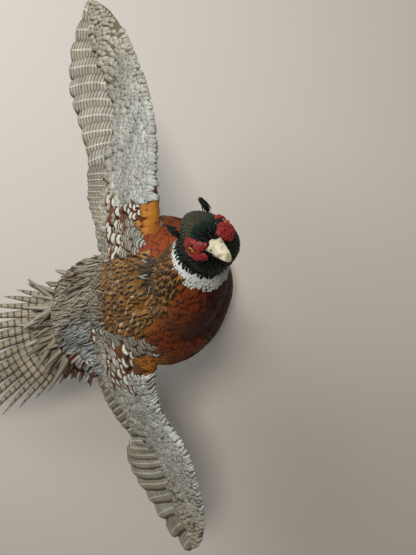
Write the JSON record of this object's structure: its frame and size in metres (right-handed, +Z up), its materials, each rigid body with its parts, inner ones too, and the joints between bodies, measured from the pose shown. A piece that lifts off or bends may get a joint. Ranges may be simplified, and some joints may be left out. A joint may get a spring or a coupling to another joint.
{
  "type": "taxidermy pheasant",
  "caption": "Cock ring-necked pheasant mounted in climbing flight, wings spread, tail fanned and head raised, held by a rod on a round base.",
  "frame": {"origin": "middle of the round base's underside", "axes": "+X the way the bird flies, +Y to the bird's left wing, +Z up"},
  "size_m": [0.5649, 0.7303, 0.5417],
  "materials": {
    "breast_feathers": "glossy copper-maroon feathers",
    "head_feathers": "short iridescent green-black feathers",
    "bill_horn": "dry ivory horn",
    "eye_glass": "amber taxidermy glass eye",
    "wattle_skin": "dried scarlet papillose skin",
    "wing_coverts": "grey-buff vermiculated feathers",
    "flight_feathers": "barred brown vanes with pale shafts",
    "tail_feathers": "olive-buff vanes with dark bars",
    "thigh_feathers": "soft brown-black feathers",
    "foot_scales": "dried grey scaled skin",
    "stand_wood": "turned hardwood, satin oil finish",
    "stand_brass": "turned and lacquered",
    "stand_steel": "drawn rod, brushed"
  },
  "bodies": {
    "root": {"bill_lower": "bill_horn", "bill_upper": "bill_horn", "ear_tuft_left": "head_feathers", "ear_tuft_right": "head_feathers", "eye_left": "eye_glass", "eye_right": "eye_glass", "foot_left": "foot_scales", "foot_right": "foot_scales", "head": "head_feathers", "neck": "breast_feathers", "stand_base": "stand_wood", "stand_flange": "stand_brass", "stand_rod": "stand_steel", "tail": "tail_feathers", "thigh_left": "thigh_feathers", "thigh_right": "thigh_feathers", "trunk": "breast_feathers", "wattle_left": "wattle_skin", "wattle_right": "wattle_skin", "wing_left_arm": "wing_coverts", "wing_left_hand": "flight_feathers", "wing_right_arm": "wing_coverts", "wing_right_hand": "flight_feathers"}
  },
  "joints": []
}
